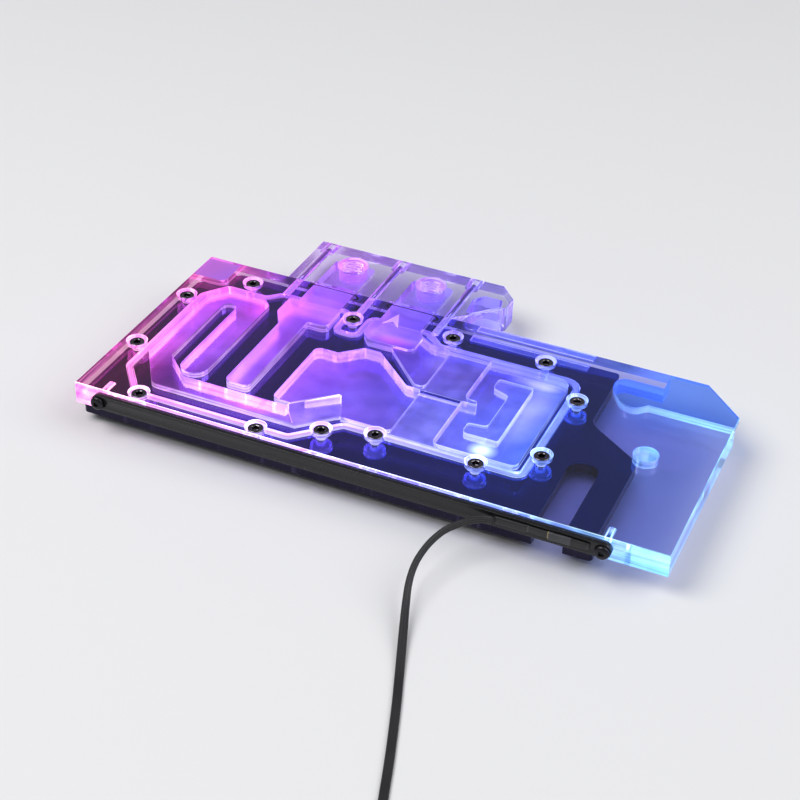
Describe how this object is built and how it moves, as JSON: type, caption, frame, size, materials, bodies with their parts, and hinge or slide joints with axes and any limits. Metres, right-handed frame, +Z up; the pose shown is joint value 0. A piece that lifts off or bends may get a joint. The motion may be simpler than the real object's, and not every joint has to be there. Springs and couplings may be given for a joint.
{
  "type": "gpu water block",
  "caption": "Full-cover graphics-card water block with a clear milled cover, two-port terminal block, edge light and its lead",
  "frame": {"origin": "centre of the underside: middle of the block's length and of its depth without the loose lead, on the surface its standoffs rest on", "axes": "+X along the block's longest edge, towards the end with the open pocket; +Y from the light bar to the port block; +Z up through the cover"},
  "size_m": [0.2719, 0.3314, 0.019],
  "materials": {
    "clear_acrylic": "clear cast acrylic, polished outside, finely milled inside",
    "dark_nickel": "dark mirror nickel plate over copper",
    "black_nickel_screw": "dark nickel-plated steel",
    "black_rubber": "matt seal rubber",
    "pale_rubber": "pale translucent seal cord",
    "black_bar": "satin black",
    "strip_white": "white flexible strip with light packages",
    "lead_black": "black cable insulation"
  },
  "bodies": {
    "root": {"top_cover": "clear_acrylic", "port_block": "clear_acrylic", "base_plate": "dark_nickel", "cover_seal": "pale_rubber", "port_seal_in": "black_rubber", "port_seal_out": "black_rubber", "cover_screw_1": "black_nickel_screw", "cover_screw_2": "black_nickel_screw", "cover_screw_3": "black_nickel_screw", "cover_screw_4": "black_nickel_screw", "cover_screw_5": "black_nickel_screw", "cover_screw_6": "black_nickel_screw", "cover_screw_7": "black_nickel_screw", "cover_screw_8": "black_nickel_screw", "cover_screw_9": "black_nickel_screw", "cover_screw_10": "black_nickel_screw", "cover_screw_11": "black_nickel_screw", "cover_screw_12": "black_nickel_screw", "cover_screw_13": "black_nickel_screw", "port_block_screw_1": "black_nickel_screw", "port_block_screw_2": "black_nickel_screw", "port_block_screw_3": "black_nickel_screw", "light_bar": "black_bar", "light_bar_screw_left": "black_nickel_screw", "light_bar_screw_right": "black_nickel_screw", "led_strip": "strip_white", "lead_joint": "lead_black", "led_lead": "lead_black", "led_lead_coil": "lead_black", "led_plug": "lead_black"}
  },
  "joints": []
}
